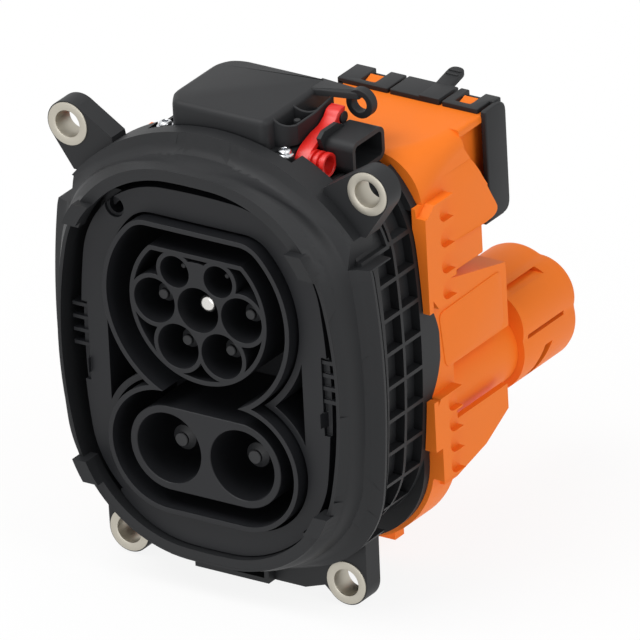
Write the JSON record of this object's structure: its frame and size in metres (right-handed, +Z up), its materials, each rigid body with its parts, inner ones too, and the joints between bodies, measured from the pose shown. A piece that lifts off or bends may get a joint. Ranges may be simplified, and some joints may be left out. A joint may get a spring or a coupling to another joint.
{
  "type": "charge port inlet",
  "caption": "Vehicle charge port inlet with AC contacts over DC contacts in a flanged collar, rear high-voltage housing, plug lock and release lever.",
  "frame": {"origin": "middle of the AC plug face, on the earth contact's axis, level with the front of the contact carriers", "axes": "+X to the right seen from the plug side, +Y into the vehicle along the contacts, +Z up"},
  "size_m": [0.125, 0.136, 0.1582],
  "materials": {
    "black_plastic": "fine moulded grain",
    "black_insert": "satin moulded",
    "orange_plastic": "satin moulded",
    "red_plastic": "smooth moulded",
    "guard_plastic": "smooth moulded",
    "white_gear": "smooth moulded",
    "seal_rubber": "smooth",
    "bushing_metal": "turned",
    "zinc_steel": "bright zinc",
    "silver_contact": "silver plated",
    "copper": "bare copper",
    "board": "solder mask"
  },
  "bodies": {
    "inlet": {"front_housing": "black_plastic", "lug_bushings": "bushing_metal", "face_insert": "black_insert", "socket_housing": "black_insert", "ac_contact_carrier": "black_insert", "dc_contact_carrier": "black_insert", "mid_housing": "black_plastic", "socket_gasket": "seal_rubber", "rear_gasket": "seal_rubber", "rear_housing": "orange_plastic", "rear_cover": "black_plastic", "cable_cap_plus": "orange_plastic", "cable_cap_minus": "orange_plastic", "cable_seal_plus": "seal_rubber", "cable_seal_minus": "seal_rubber", "dc_busbar_plus": "copper", "dc_busbar_minus": "copper", "busbar_screws": "zinc_steel", "sensor_board": "board", "lever_pin": "zinc_steel", "ac_pin_l1": "silver_contact", "earth_pin": "silver_contact", "ac_pin_neutral": "silver_contact", "ac_pin_l2": "silver_contact", "ac_pin_l3": "silver_contact", "proximity_pin": "silver_contact", "pilot_pin": "silver_contact", "dc_pin_minus": "silver_contact", "dc_pin_plus": "silver_contact", "ac_pin_caps": "guard_plastic", "dc_pin_caps": "guard_plastic", "actuator_cover": "black_plastic", "actuator_base": "black_plastic", "connector_pins": "silver_contact", "actuator_screws": "zinc_steel", "lock_pin_guide": "guard_plastic", "motor": "zinc_steel"},
    "lock": {"lock_pin": "zinc_steel"},
    "wheel": {"worm_wheel": "white_gear"},
    "worm": {"worm": "zinc_steel"},
    "lever": {"release_lever": "red_plastic"}
  },
  "joints": [
    {"name": "wheel_spin", "type": "hinge", "parent": "inlet", "child": "wheel", "pos_m": [0, 0.027, 0.053], "axis": [0, 0, 1], "range_deg": [0, 180]},
    {"name": "worm_spin", "type": "hinge", "parent": "inlet", "child": "worm", "pos_m": [-0.0116, 0.027, 0.053], "axis": [0, 1, 0], "range_deg": [0, 3600]},
    {"name": "lock_slide", "type": "slide", "parent": "inlet", "child": "lock", "axis": [0, 0, -1], "range_m": [0, 0.0055]},
    {"name": "lever_pivot", "type": "hinge", "parent": "inlet", "child": "lever", "pos_m": [0.0254, 0.0265, 0.0453], "axis": [1, 0, 0], "range_deg": [0, 35]}
  ],
  "couplings": [
    {"joint": "worm_spin", "follows": "wheel_spin", "ratio": 20},
    {"joint": "lock_slide", "follows": "wheel_spin", "m_per_rad": 0.0017507}
  ]
}
